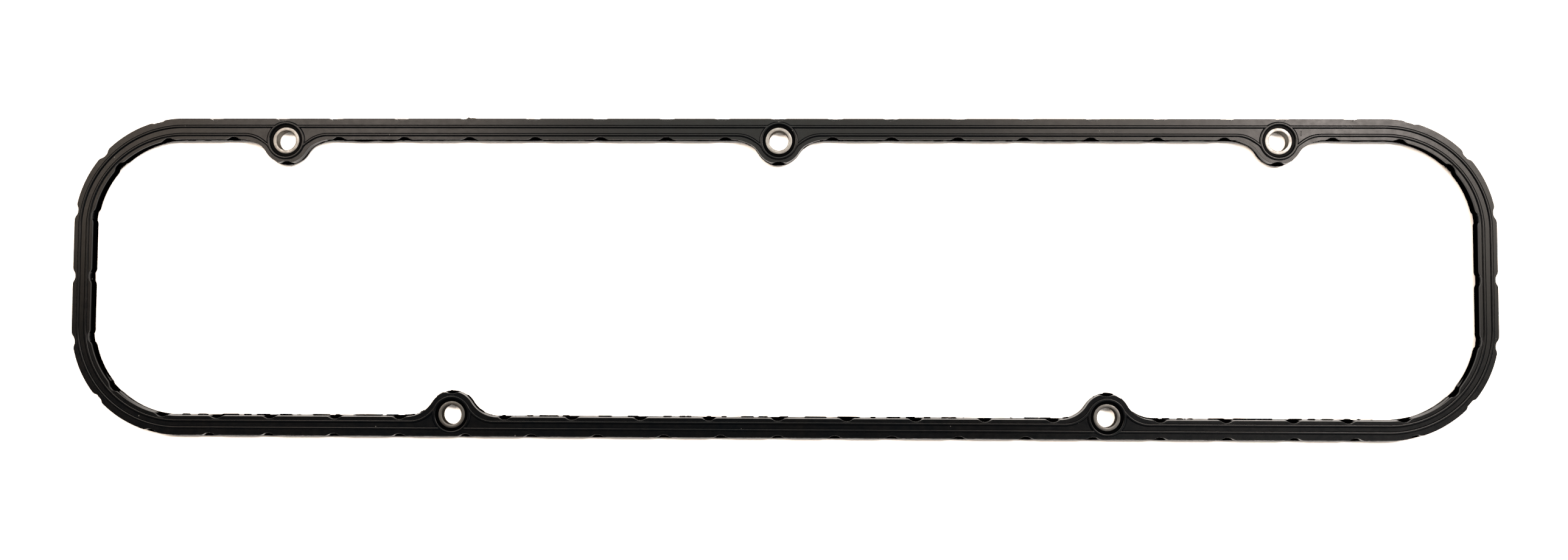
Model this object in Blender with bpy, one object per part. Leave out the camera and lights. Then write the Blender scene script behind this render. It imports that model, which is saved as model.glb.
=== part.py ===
"""A moulded valve cover gasket with five steel sleeves, in metres, +Z up.

It lies flat on the crests of its lower beads. +X runs along the gasket, +Y points to the rail with
three bolts, and the origin is under the middle sleeve, at the height of the surface it lies on.
"""

import collections
import math

import bmesh
import bpy
from mathutils import Vector

# Outline of the moulded band
OUTLINE_LENGTH = 0.5089
OUTLINE_WIDTH = 0.1145
CORNER_RADIUS = 0.0392
SIDE_WIDTH = 0.00670
RAIL_EXTRA = 0.00065

# Bolt pattern and bosses
UPPER_BOLT_FROM_END = 0.07645
LOWER_BOLT_FROM_END = 0.13795
BOLT_FROM_EDGE = 0.00805
BOSS_RADIUS = 0.00835
BOSS_FILLET = 0.0110

# Heights: a thin web at the parting plane, between a tall and a low notched lobe
UPPER_LOBE_HEIGHT = 0.00265
WEB_THICKNESS = 0.00035
LOWER_LOBE_HEIGHT = 0.00180
WEB_PROUD = 0.00028
LOBE_SINK = 0.00010

# Sealing beads on both faces
OUTER_BEAD_FROM_EDGE = 0.00220
INNER_BEAD_FROM_EDGE = 0.00162
BEAD_WIDTH = 0.00130
BEAD_CREST = 0.00038
BEAD_HEIGHT = 0.00045
RING_BEAD_RADIUS = 0.00630
RING_BEAD_WIDTH = 0.00138
RING_BEAD_CREST = 0.00042
RING_BEAD_HEIGHT = 0.00047
BEAD_SINK = 0.00030

# Steel sleeves that limit how far the bolts squeeze the rubber
SLEEVE_OUTER_DIAMETER = 0.0097
SLEEVE_BORE = 0.0070
SLEEVE_LENGTH = 0.0041
SLEEVE_CHAMFER = 0.00020
SLEEVE_GAP = 0.00030

# Notches that the mould's locating pins leave in both lobes, on each rail by distance from its middle
NOTCH_MOUTH = 0.0046
NOTCH_FLOOR = 0.0018
NOTCH_DEPTH = 0.0009
UPPER_INNER_NOTCHES = (0.01925, 0.0404, 0.0641, 0.0877, 0.1115, 0.1351, 0.1589, 0.1972)
UPPER_OUTER_NOTCHES = (0.0, 0.0203, 0.0401, 0.0643, 0.0884, 0.1121, 0.1361, 0.1598, 0.1793, 0.2034)
LOWER_INNER_NOTCHES = (0.0, 0.0245, 0.0490, 0.0735, 0.0979, 0.1351, 0.1586, 0.1821, 0.2013)
LOWER_OUTER_NOTCHES = (0.0, 0.0203, 0.0405, 0.0642, 0.0879, 0.1115, 0.1352, 0.1588, 0.1824, 0.2037)
CORNER_INNER_ANGLES = (10.5, 46.5, 82.0)
CORNER_OUTER_ANGLES = (14.0, 48.0, 82.0)

# Facets
CORNER_STEP = math.radians(10.0)
BOSS_STEP = math.radians(15.0)
ROUND_SEGMENTS = 24
FLAT_ANGLE = math.radians(0.2)

# Heights above the surface that the gasket lies on
LOWER_FACE = RING_BEAD_HEIGHT
WEB_BOTTOM = LOWER_FACE + LOWER_LOBE_HEIGHT
WEB_TOP = WEB_BOTTOM + WEB_THICKNESS
UPPER_FACE = WEB_TOP + UPPER_LOBE_HEIGHT
MIDDLE = (LOWER_FACE + UPPER_FACE) / 2

HALF_RAIL = OUTLINE_LENGTH / 2 - CORNER_RADIUS
HALF_SIDE = OUTLINE_WIDTH / 2 - CORNER_RADIUS
BOLT_Y = OUTLINE_WIDTH / 2 - BOLT_FROM_EDGE
UPPER_BOLT_X = OUTLINE_LENGTH / 2 - UPPER_BOLT_FROM_END
LOWER_BOLT_X = OUTLINE_LENGTH / 2 - LOWER_BOLT_FROM_END
LOWER_BOLTS = (-LOWER_BOLT_X, LOWER_BOLT_X)
UPPER_BOLTS = (-UPPER_BOLT_X, 0.0, UPPER_BOLT_X)
SLEEVES = {
    "sleeve_lower_left": (LOWER_BOLTS[0], -BOLT_Y),
    "sleeve_lower_right": (LOWER_BOLTS[1], -BOLT_Y),
    "sleeve_upper_left": (UPPER_BOLTS[0], BOLT_Y),
    "sleeve_upper_centre": (UPPER_BOLTS[1], BOLT_Y),
    "sleeve_upper_right": (UPPER_BOLTS[2], BOLT_Y),
}

# One straight or round stretch of an outline, bend being 1 / radius and positive to the left
Stretch = collections.namedtuple("Stretch", "start heading length bend kind notches")


class Walk:
    """An outline walked anticlockwise as straight and round stretches."""

    def __init__(self, start, heading):
        self.place = Vector(start)
        self.heading = heading
        self.stretches = []

    def _add(self, length, bend, kind, notches):
        stretch = Stretch(self.place.copy(), self.heading, length, bend, kind, notches)
        self.stretches.append(stretch)
        self.place, self.heading = along(stretch, length)

    def straight(self, length, kind="rail", notches=()):
        """Adds a straight run with notches at these distances along it."""
        self._add(length, 0.0, kind, notches)

    def turn(self, radius, angle, kind="corner", notches=()):
        """Adds an arc with notches at these angles along it, turning left for a positive angle."""
        bend = math.copysign(1 / radius, angle)
        self._add(radius * abs(angle), bend, kind, tuple(radius * at for at in notches))


def along(stretch, distance):
    """The point and the heading at a distance along a stretch."""
    heading = stretch.heading + distance * stretch.bend
    if stretch.bend == 0:
        step = Vector((math.cos(heading), math.sin(heading))) * distance
        return stretch.start + step, heading
    start = Vector((-math.sin(stretch.heading), math.cos(stretch.heading)))
    end = Vector((-math.sin(heading), math.cos(heading)))
    return stretch.start + (start - end) / stretch.bend, heading


BoltPass = collections.namedtuple("BoltPass", "half_length add")


def round_boss(level, radius, fillet, tip_notch):
    """How an outline bends round a bolt: fillet, arc and fillet. Level is the rail line's distance past the bolt."""
    angle = math.acos((level + fillet) / (radius + fillet))

    def add(walk):
        walk.turn(fillet, angle, "fillet")
        walk.turn(radius, -2 * angle, "boss", (angle,) if tip_notch else ())
        walk.turn(fillet, angle, "fillet")

    return BoltPass((radius + fillet) * math.sin(angle), add)


def straight_gap(half_length):
    """A break in a bead that runs straight into the ring round a bolt."""
    return BoltPass(half_length, lambda walk: walk.straight(2 * half_length, "boss"))


def add_rail(walk, bolts, half_notches, bolt_pass):
    """Walks one long rail with its bolts, and with notches at these distances on both sides of its middle."""
    notches = sorted({*half_notches, *(-x for x in half_notches)})
    at = -HALF_RAIL
    for bolt in [*bolts, None]:
        end = HALF_RAIL if bolt is None else bolt - bolt_pass.half_length
        inside = tuple(x - at for x in notches if at + NOTCH_MOUTH / 2 < x < end - NOTCH_MOUTH / 2)
        walk.straight(end - at, notches=inside)
        if bolt is not None:
            bolt_pass.add(walk)
            at = bolt + bolt_pass.half_length


def around(offset, extra, bolt_pass=None, lower_notches=(), upper_notches=(), corner_notches=()):
    """The closed walk at an inward offset from the outer wall, with an extra offset on both long rails."""
    walk = Walk((-HALF_RAIL, -OUTLINE_WIDTH / 2 + offset + extra), 0.0)
    radius = CORNER_RADIUS - offset
    half_side = HALF_SIDE - extra
    first = [math.radians(angle) for angle in corner_notches]
    second = [math.pi / 2 - angle for angle in reversed(first)]
    side_notch = (half_side,) if corner_notches else ()
    for bolts, notches in ((LOWER_BOLTS, lower_notches), (UPPER_BOLTS, upper_notches)):
        add_rail(walk, bolts if bolt_pass else (), notches, bolt_pass)
        walk.turn(radius, math.pi / 2, notches=tuple(first))
        walk.straight(2 * half_side, "side", side_notch)
        walk.turn(radius, math.pi / 2, notches=tuple(second))
    return walk


def notch_points(stretch, at, inward):
    """The four corners of one notch, whose flanks slope to a narrower floor."""
    corners = []
    for reach, depth in ((-NOTCH_MOUTH, 0), (-NOTCH_FLOOR, 1), (NOTCH_FLOOR, 1), (NOTCH_MOUTH, 0)):
        place, heading = along(stretch, at + reach / 2)
        normal = Vector((-math.sin(heading), math.cos(heading))) * inward
        corners.append(place + normal * depth * NOTCH_DEPTH)
    return corners


def outline(walk, inward=1):
    """The corner points of a closed walk. Inward is 1 where rubber lies to the left, and -1 to the right."""
    points = []
    for stretch in walk.stretches:
        step = CORNER_STEP if stretch.kind == "corner" else BOSS_STEP
        count = max(1, math.ceil(stretch.length * abs(stretch.bend) / step))
        regular = [stretch.length * i / count for i in range(count)]
        clear = NOTCH_MOUTH / 2 * 1.15
        placed = [(at, [along(stretch, at)[0]]) for at in regular if all(abs(at - n) > clear for n in stretch.notches)]
        placed += [(at, notch_points(stretch, at, inward)) for at in stretch.notches]
        for _, corners in sorted(placed, key=lambda item: item[0]):
            points.extend(corners)
    return points


def outer_wall(proud=0.0, notched=True):
    """Points of the band's outer wall."""
    if not notched:
        return outline(around(-proud, 0.0))
    return outline(around(-proud, 0.0, None, LOWER_OUTER_NOTCHES, UPPER_OUTER_NOTCHES, CORNER_OUTER_ANGLES))


def inner_wall(proud=0.0, notched=True):
    """Points of the band's inner wall, with its five bosses."""
    offset = SIDE_WIDTH + proud
    level = offset + RAIL_EXTRA - BOLT_FROM_EDGE
    boss = round_boss(level, BOSS_RADIUS + proud, BOSS_FILLET - proud, notched)
    if not notched:
        return outline(around(offset, RAIL_EXTRA, boss), -1)
    notches = LOWER_INNER_NOTCHES, UPPER_INNER_NOTCHES, CORNER_INNER_ANGLES
    return outline(around(offset, RAIL_EXTRA, boss, *notches), -1)


def object_from(name, bm, material=None):
    """Makes a bmesh into a named object in the scene, its faces pointing out."""
    bmesh.ops.recalc_face_normals(bm, faces=bm.faces)
    mesh = bpy.data.meshes.new(name)
    bm.to_mesh(mesh)
    bm.free()
    if material:
        mesh.materials.append(material)
    made = bpy.data.objects.new(name, mesh)
    bpy.context.scene.collection.objects.link(made)
    return made


def plate(name, outer, inner, bottom, top):
    """A flat closed frame between two outlines."""
    bm = bmesh.new()
    edges = []
    for points in (outer, inner):
        corners = [bm.verts.new((point.x, point.y, bottom)) for point in points]
        edges += [bm.edges.new((corners[i - 1], corner)) for i, corner in enumerate(corners)]
    bmesh.ops.triangle_fill(bm, use_beauty=True, edges=edges)
    grown = bmesh.ops.extrude_face_region(bm, geom=bm.faces[:])
    corners = [item for item in grown["geom"] if isinstance(item, bmesh.types.BMVert)]
    bmesh.ops.translate(bm, verts=corners, vec=(0, 0, top - bottom))
    return object_from(name, bm)


def ridge_section(width, crest, height):
    """A bead's section as (across, up) points, its flanks carried on down into the lobe."""
    root = width / 2 + (width - crest) / 2 * BEAD_SINK / height
    return [(-root, -BEAD_SINK), (-crest / 2, height), (crest / 2, height), (root, -BEAD_SINK)]


def bead_runs(walk):
    """The stretches of a closed bead walk, grouped between the rings that break it."""
    runs, run = [], []
    for stretch in walk.stretches:
        if stretch.kind == "boss":
            runs.append(run)
            run = []
        else:
            run.append(stretch)
    runs[0] = run + runs[0]
    return runs


def stations(run):
    """The points and headings at which a bead's section is placed along a run."""
    placed = [along(run[0], 0.0)]
    for stretch in run:
        step = CORNER_STEP if stretch.kind == "corner" else BOSS_STEP
        count = max(1, math.ceil(stretch.length * abs(stretch.bend) / step))
        placed += [along(stretch, stretch.length * (i + 1) / count) for i in range(count)]
    return placed


def sweep_bead(bm, run, section, face, up):
    """Extrudes the bead's section along a run and closes both ends."""
    loop = None
    for place, heading in stations(run):
        across = Vector((-math.sin(heading), math.cos(heading)))
        corners = [place + across * side for side, _ in section]
        heights = [face + up * rise for _, rise in section]
        spots = [(corner.x, corner.y, height) for corner, height in zip(corners, heights)]
        if loop is None:
            loop = [bm.verts.new(spot) for spot in spots]
            bm.faces.new(loop)
            continue
        before = loop
        loop = [bm.verts.new(spot) for spot in spots]
        for i in range(len(loop)):
            bm.faces.new((before[i - 1], before[i], loop[i], loop[i - 1]))
    bm.faces.new(loop)


def line_beads(name, walk, face, up):
    """The straight and curved beads of one line, from ring to ring."""
    bm = bmesh.new()
    for run in bead_runs(walk):
        sweep_bead(bm, run, ridge_section(BEAD_WIDTH, BEAD_CREST, BEAD_HEIGHT), face, up)
    return object_from(name, bm)


def turned(bm, section, centre):
    """Spins a closed section of (radius, height) points round a bolt's axis."""
    corners = [bm.verts.new((centre[0] + radius, centre[1], height)) for radius, height in section]
    edges = [bm.edges.new((corners[i - 1], corner)) for i, corner in enumerate(corners)]
    pivot = (centre[0], centre[1], 0)
    bmesh.ops.spin(
        bm, geom=corners + edges, cent=pivot, axis=(0, 0, 1), angle=2 * math.pi, steps=ROUND_SEGMENTS, use_merge=True
    )


def ring_beads(name, face, up):
    """The ring beads round all five sleeves on one face."""
    bm = bmesh.new()
    section = ridge_section(RING_BEAD_WIDTH, RING_BEAD_CREST, RING_BEAD_HEIGHT)
    for centre in SLEEVES.values():
        turned(bm, [(RING_BEAD_RADIUS + side, face + up * rise) for side, rise in section], centre)
    return object_from(name, bm)


def hole_cutters():
    """Closed cylinders that clear the five sleeves with a gap."""
    bm = bmesh.new()
    reach = 4 * MIDDLE
    for x, y in SLEEVES.values():
        made = bmesh.ops.create_cone(
            bm,
            cap_ends=True,
            segments=ROUND_SEGMENTS,
            radius1=SLEEVE_OUTER_DIAMETER / 2 + SLEEVE_GAP,
            radius2=SLEEVE_OUTER_DIAMETER / 2 + SLEEVE_GAP,
            depth=reach,
        )
        bmesh.ops.translate(bm, verts=made["verts"], vec=(x, y, MIDDLE))
    return object_from("hole_cutters", bm)


def material(name, colour, roughness, metallic):
    """A plain Principled material."""
    made = bpy.data.materials.new(name)
    made.use_nodes = True
    shader = made.node_tree.nodes["Principled BSDF"]
    shader.inputs["Base Color"].default_value = (*colour, 1.0)
    shader.inputs["Roughness"].default_value = roughness
    shader.inputs["Metallic"].default_value = metallic
    return made


def helpers(name, objects):
    """Puts helper shapes in a collection that a Boolean reads and a render leaves out."""
    group = bpy.data.collections.new(name)
    bpy.context.scene.collection.children.link(group)
    for helper in objects:
        bpy.context.scene.collection.objects.unlink(helper)
        group.objects.link(helper)
        helper.hide_render = True
        helper.display_type = "WIRE"
    return group


def rubber_gasket():
    """The one moulded rubber body: web, lobes, bosses and the beads on both faces."""
    body = plate("rubber_gasket", outer_wall(WEB_PROUD, False), inner_wall(WEB_PROUD, False), WEB_BOTTOM, WEB_TOP)
    body.data.materials.append(material("black_rubber", (0.035, 0.034, 0.032), 0.5, 0.0))
    walls = outer_wall(), inner_wall()
    shapes = [
        plate("lower_lobe", *walls, LOWER_FACE, WEB_BOTTOM + LOBE_SINK),
        plate("upper_lobe", *walls, WEB_TOP - LOBE_SINK, UPPER_FACE),
    ]
    to_outer_line = BOLT_FROM_EDGE - OUTER_BEAD_FROM_EDGE - RAIL_EXTRA
    half_gap = math.sqrt(RING_BEAD_RADIUS**2 - to_outer_line**2)
    outer_line = around(OUTER_BEAD_FROM_EDGE, RAIL_EXTRA, straight_gap(half_gap))
    inner_offset = SIDE_WIDTH - INNER_BEAD_FROM_EDGE
    bend = round_boss(inner_offset + RAIL_EXTRA - BOLT_FROM_EDGE, RING_BEAD_RADIUS, BOSS_FILLET, False)
    inner_line = around(inner_offset, RAIL_EXTRA, bend)
    for side, face, up in (("lower", LOWER_FACE, -1), ("upper", UPPER_FACE, 1)):
        shapes.append(line_beads(f"{side}_outer_bead", outer_line, face, up))
        shapes.append(line_beads(f"{side}_inner_bead", inner_line, face, up))
        shapes.append(ring_beads(f"{side}_ring_beads", face, up))
    for name, operation, objects in (
        ("join_shapes", "UNION", shapes),
        ("cut_holes", "DIFFERENCE", [hole_cutters()]),
    ):
        modifier = body.modifiers.new(name, "BOOLEAN")
        modifier.operation = operation
        modifier.solver = "EXACT"
        modifier.operand_type = "COLLECTION"
        modifier.collection = helpers(name, objects)
    tidy = body.modifiers.new("merge_flat_faces", "DECIMATE")
    tidy.decimate_type = "DISSOLVE"
    tidy.angle_limit = FLAT_ANGLE
    return body


def sleeve(name, centre, steel):
    """A turned steel sleeve with its edges broken."""
    outer, bore = SLEEVE_OUTER_DIAMETER / 2, SLEEVE_BORE / 2
    low, high = MIDDLE - SLEEVE_LENGTH / 2, MIDDLE + SLEEVE_LENGTH / 2
    edge = SLEEVE_CHAMFER
    section = [
        (outer, low),
        (outer, high),
        (bore + edge, high),
        (bore, high - edge),
        (bore, low + edge),
        (bore + edge, low),
    ]
    bm = bmesh.new()
    turned(bm, section, (0.0, 0.0))
    made = object_from(name, bm, steel)
    made.data.shade_smooth()
    made.data.set_sharp_from_angle(angle=math.radians(35))
    made.location = (*centre, 0.0)
    return made


def main():
    for old in list(bpy.data.objects):
        bpy.data.objects.remove(old, do_unlink=True)
    rubber_gasket()
    steel = material("satin_steel", (0.56, 0.53, 0.49), 0.35, 1.0)
    for name, centre in SLEEVES.items():
        sleeve(name, centre, steel)


main()
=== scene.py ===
"""Looks for a moulded rubber valve cover gasket with five steel sleeves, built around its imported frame.

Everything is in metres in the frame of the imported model: +X runs along the gasket, +Y points to the
rail with three bolts, +Z is up, and the gasket lies on the plane at height 0.
"""

import logging
import math
from collections.abc import Sequence
from dataclasses import dataclass
from enum import Enum
from typing import Any

import bmesh
import bpy
from mathutils import Matrix, Vector, noise


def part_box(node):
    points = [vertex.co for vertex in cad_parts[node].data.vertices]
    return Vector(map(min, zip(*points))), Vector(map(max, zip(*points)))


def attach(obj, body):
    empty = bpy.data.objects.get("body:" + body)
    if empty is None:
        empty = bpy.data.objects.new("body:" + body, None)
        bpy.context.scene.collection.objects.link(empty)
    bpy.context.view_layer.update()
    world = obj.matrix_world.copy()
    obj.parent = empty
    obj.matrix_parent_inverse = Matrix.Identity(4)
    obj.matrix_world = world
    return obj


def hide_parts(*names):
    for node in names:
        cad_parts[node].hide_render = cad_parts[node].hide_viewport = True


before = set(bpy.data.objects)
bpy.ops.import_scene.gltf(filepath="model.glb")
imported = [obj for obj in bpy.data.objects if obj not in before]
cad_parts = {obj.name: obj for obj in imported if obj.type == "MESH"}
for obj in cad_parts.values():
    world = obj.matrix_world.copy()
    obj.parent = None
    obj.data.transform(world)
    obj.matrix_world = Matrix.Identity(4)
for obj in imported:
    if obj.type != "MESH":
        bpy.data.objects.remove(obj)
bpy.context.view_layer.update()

log = logging.getLogger("gasket")

Colour = tuple[float, float, float]

MM = 0.001
ARC_SAG = 0.006 * MM  # how far a facet may stray from its arc
SAME_PLACE = 0.001 * MM  # points nearer than this are one place
MIRROR_MERGE = 0.002 * MM  # mirrored points nearer than this are joined
FLAT_WEIGHT = 90  # how strongly wide faces pull the shading flat


class Part(Enum):
    """How much of a mark a pen draws where the mark may sit on the mirror plane."""

    WHOLE = "whole"
    FIRST = "first half"
    LAST = "last half"


@dataclass(frozen=True)
class Heights:
    """Heights of the moulding's layers above the surface that it lies on."""

    lower_face: float = 0.47 * MM
    web_bottom: float = 2.27 * MM
    web_top: float = 2.62 * MM
    upper_face: float = 5.27 * MM

    @property
    def middle(self) -> float:
        """The height of the plane about which the two faces mirror."""
        return (self.lower_face + self.upper_face) / 2


@dataclass(frozen=True)
class NotchSizes:
    """One notch of a wall: its mouth, its narrower floor, its depth and how far its corners are rounded."""

    mouth: float = 4.65 * MM
    floor: float = 1.75 * MM
    depth: float = 0.88 * MM
    mouth_round: float = 0.60 * MM
    floor_round: float = 0.62 * MM


@dataclass(frozen=True)
class BeadSizes:
    """The section of a sealing bead: an oval with a flattened crest."""

    width: float
    height: float
    sink: float = 0.05 * MM
    sides: int = 28
    flatness: float = 2.8


class Pen:
    """Walks a path of straights and arcs with a heading, and leaves marks on the way."""

    def __init__(self, bm: bmesh.types.BMesh, start: Vector, heading: float, mark_length: float) -> None:
        """Puts the pen at its start.

        Args:
            bm: The mesh that is drawn in.
            start: The place where the walk starts.
            heading: The first heading, in radians from +X.
            mark_length: The length of one mark along the path.
        """
        self.bm = bm
        self.place = start
        self.heading = heading
        self.mark_length = mark_length

    def left(self) -> Vector:
        """The unit vector to the left of the heading."""
        return Vector((-math.sin(self.heading), math.cos(self.heading), 0))

    def ahead(self) -> Vector:
        """The unit vector along the heading."""
        return Vector((math.cos(self.heading), math.sin(self.heading), 0))

    def forward(self, length: float) -> None:
        """Goes straight on by a length."""
        raise NotImplementedError

    def turn(self, radius: float, angle: float) -> None:
        """Goes round an arc, to the left for a positive angle."""
        raise NotImplementedError

    def mark(self, bend: float, part: Part) -> None:
        """Leaves one mark on a stretch of this bend."""
        raise NotImplementedError

    @staticmethod
    def steps(radius: float, angle: float) -> int:
        """The number of facets that keep an arc within the allowed sag."""
        return max(2, math.ceil(abs(angle) / math.sqrt(8 * ARC_SAG / radius)))

    def stretch(self, length: float, bend: float = 0.0, marks: Sequence[float] = ()) -> None:
        """Walks one stretch.

        Args:
            length: Its length along the path.
            bend: One over its radius, positive to the left, or 0 for a straight.
            marks: Distances along it at which marks are centred.
        """
        half, at = self.mark_length / 2, 0.0
        for centre in marks:
            at_end = length - centre < SAME_PLACE
            part = Part.LAST if centre < SAME_PLACE else Part.FIRST if at_end else Part.WHOLE
            if part is not Part.LAST:
                self._advance(centre - half - at, bend)
            self.mark(bend, part)
            at = centre + half
        self._advance(length - at, bend)

    def _advance(self, length: float, bend: float) -> None:
        """Goes on by a length, straight or round a bend.

        Args:
            length: The length along the path.
            bend: One over the radius, positive to the left, or 0 for a straight.
        """
        if length < SAME_PLACE:
            return
        if bend == 0:
            self.forward(length)
        else:
            self.turn(1 / abs(bend), length * bend)


class Scribe(Pen):
    """Draws a wall's outline as a wire, with a notch at each mark."""

    def __init__(
        self,
        bm: bmesh.types.BMesh,
        start: Vector,
        heading: float,
        notch: NotchSizes | None,
        grain: float = 1.0,
    ) -> None:
        """Puts the pen down.

        Args:
            bm: The mesh that is drawn in.
            start: The place where the walk starts.
            heading: The first heading, in radians from +X.
            notch: The notch that a mark is, or None for a wall without notches.
            grain: The longest edge that it may draw.
        """
        super().__init__(bm, start, heading, notch.mouth if notch else 0.0)
        self.notch = notch
        self.grain = grain
        self.first = self.tip = bm.verts.new(start)
        self.mouth_corners: list[bmesh.types.BMVert] = []
        self.floor_corners: list[bmesh.types.BMVert] = []

    def to(self, place: Vector) -> None:
        """Draws an edge.

        Args:
            place: Where it ends.
        """
        grown = bmesh.ops.extrude_vert_indiv(self.bm, verts=[self.tip])
        bmesh.ops.translate(self.bm, verts=grown["verts"], vec=place - self.tip.co)
        self.tip = grown["verts"][0]

    def forward(self, length: float) -> None:
        """Draws a straight, in pieces no longer than the grain.

        Args:
            length: Its length.
        """
        pieces = max(1, math.ceil(length / self.grain))
        step = self.ahead() * (length / pieces)
        for _ in range(pieces):
            self.to(self.tip.co + step)

    def turn(self, radius: float, angle: float) -> None:
        """Spins the tip round an arc.

        Args:
            radius: The arc's radius.
            angle: The angle that it turns, positive to the left.
        """
        centre = self.tip.co + self.left() * math.copysign(radius, angle)
        steps = max(self.steps(radius, angle), math.ceil(radius * abs(angle) / self.grain))
        made = bmesh.ops.spin(
            self.bm, geom=[self.tip], cent=centre, axis=(0, 0, 1), angle=angle, steps=steps
        )
        self.tip = next(item for item in made["geom_last"] if isinstance(item, bmesh.types.BMVert))
        self.heading += angle

    def mark(self, bend: float, part: Part) -> None:
        """Draws a notch into the rubber, which lies to the left.

        Args:
            bend: The bend of the stretch that it is on.
            part: How much of the notch is drawn.
        """
        notch = self.notch
        half_angle = bend * notch.mouth / 2
        reach = math.sin(half_angle) / bend if bend else notch.mouth / 2
        rise = (1 - math.cos(half_angle)) / bend if bend else 0.0
        if part is not Part.LAST:
            self.heading += half_angle
        ahead, left = self.ahead(), self.left()
        if part is Part.LAST:
            apex = self.tip.co.copy()
            bmesh.ops.translate(self.bm, verts=[self.tip], vec=left * notch.depth)
        else:
            apex = self.tip.co + ahead * reach - left * rise
            self.mouth_corners.append(self.tip)
            self.to(apex - ahead * (notch.floor / 2) + left * notch.depth)
            self.floor_corners.append(self.tip)
        if part is Part.FIRST:
            self.to(apex + left * notch.depth)
            return
        self.to(apex + ahead * (notch.floor / 2) + left * notch.depth)
        self.floor_corners.append(self.tip)
        self.to(apex + ahead * reach + left * rise)
        self.mouth_corners.append(self.tip)
        self.heading += half_angle

    def jump(self, place: Vector, heading: float) -> None:
        """Draws an edge to a new start with a new heading."""
        self.to(place)
        self.heading = heading

    def close(self) -> None:
        """Draws the last edge, back to the first point."""
        bmesh.ops.contextual_create(self.bm, geom=[self.tip, self.first])


class BeadPen(Pen):
    """Carries a bead's round section along a path, and breaks it at each mark."""

    def __init__(
        self, bm: bmesh.types.BMesh, start: Vector, heading: float, bead: BeadSizes, gap: float = 0.0
    ) -> None:
        """Starts the bead.

        Args:
            bm: The mesh that is drawn in.
            start: The place where the walk starts, on the face that the bead stands on.
            heading: The first heading, in radians from +X.
            bead: The section's sizes.
            gap: The length of a break along the path.
        """
        super().__init__(bm, start, heading, gap)
        self.bead = bead
        self.ring: list[Any] = []
        self._place_section()

    def _place_section(self) -> None:
        """Stands a new section on the path."""
        made = bmesh.ops.create_circle(self.bm, segments=self.bead.sides, radius=self.bead.width / 2)
        ring = made["verts"]
        half = self.bead.width / 2
        for vert in ring:
            for axis in (0, 1):
                share = abs(vert.co[axis]) / half
                vert.co[axis] = math.copysign(half * share ** (2 / self.bead.flatness), vert.co[axis])
        rise = (self.bead.height + self.bead.sink) / half
        stand = (
            Matrix.Translation(self.place - Vector((0, 0, self.bead.sink)))
            @ Matrix.Rotation(self.heading - math.pi / 2, 4, "Z")
            @ Matrix.Rotation(math.pi / 2, 4, "X")
            @ Matrix.Diagonal((1, rise, 1, 1))
        )
        bmesh.ops.transform(self.bm, matrix=stand, verts=ring)
        self.ring = ring + list({edge for vert in ring for edge in vert.link_edges})

    def _section_edges(self) -> list[bmesh.types.BMEdge]:
        """The edges of the section that is carried now."""
        return [item for item in self.ring if isinstance(item, bmesh.types.BMEdge)]

    def _cap(self) -> None:
        """Closes the section that is carried now."""
        bmesh.ops.contextual_create(self.bm, geom=self._section_edges())

    def forward(self, length: float) -> None:
        """Extrudes the section straight on.

        Args:
            length: The length of the straight.
        """
        grown = bmesh.ops.extrude_edge_only(self.bm, edges=self._section_edges())["geom"]
        verts = [item for item in grown if isinstance(item, bmesh.types.BMVert)]
        bmesh.ops.translate(self.bm, verts=verts, vec=self.ahead() * length)
        moved = set(verts)
        self.ring = verts + [
            item for item in grown if isinstance(item, bmesh.types.BMEdge) and set(item.verts) <= moved
        ]
        self.place = self.place + self.ahead() * length

    def turn(self, radius: float, angle: float) -> None:
        """Spins the section round an arc.

        Args:
            radius: The arc's radius.
            angle: The angle that it turns, positive to the left.
        """
        centre = self.place + self.left() * math.copysign(radius, angle)
        steps = self.steps(radius, angle)
        made = bmesh.ops.spin(
            self.bm, geom=self.ring, cent=centre, axis=(0, 0, 1), angle=angle, steps=steps
        )
        self.ring = [item for item in made["geom_last"] if not isinstance(item, bmesh.types.BMFace)]
        self.place = centre + Matrix.Rotation(angle, 3, "Z") @ (self.place - centre)
        self.heading += angle

    def mark(self, bend: float, part: Part) -> None:
        """Ends the bead, and starts it again past a gap.

        Args:
            bend: The bend of the stretch, which is straight where a bead breaks. It is not used.
            part: How much of the gap is on this half.
        """
        self._cap()
        if part is Part.FIRST:
            return
        self.place = self.place + self.ahead() * self.mark_length
        self._place_section()
        self._cap()


def between(places: Sequence[float], start: float, end: float) -> list[float]:
    """Distances along a walk from start to end at which these places lie.

    Args:
        places: Distances from the middle of a rail.
        start: Where on the rail the walk starts.
        end: Where on the rail it ends.

    Returns:
        The distances from the start, in walking order.
    """
    low, high = sorted((start, end))
    return sorted(abs(place - start) for place in places if low <= place <= high)


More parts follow.
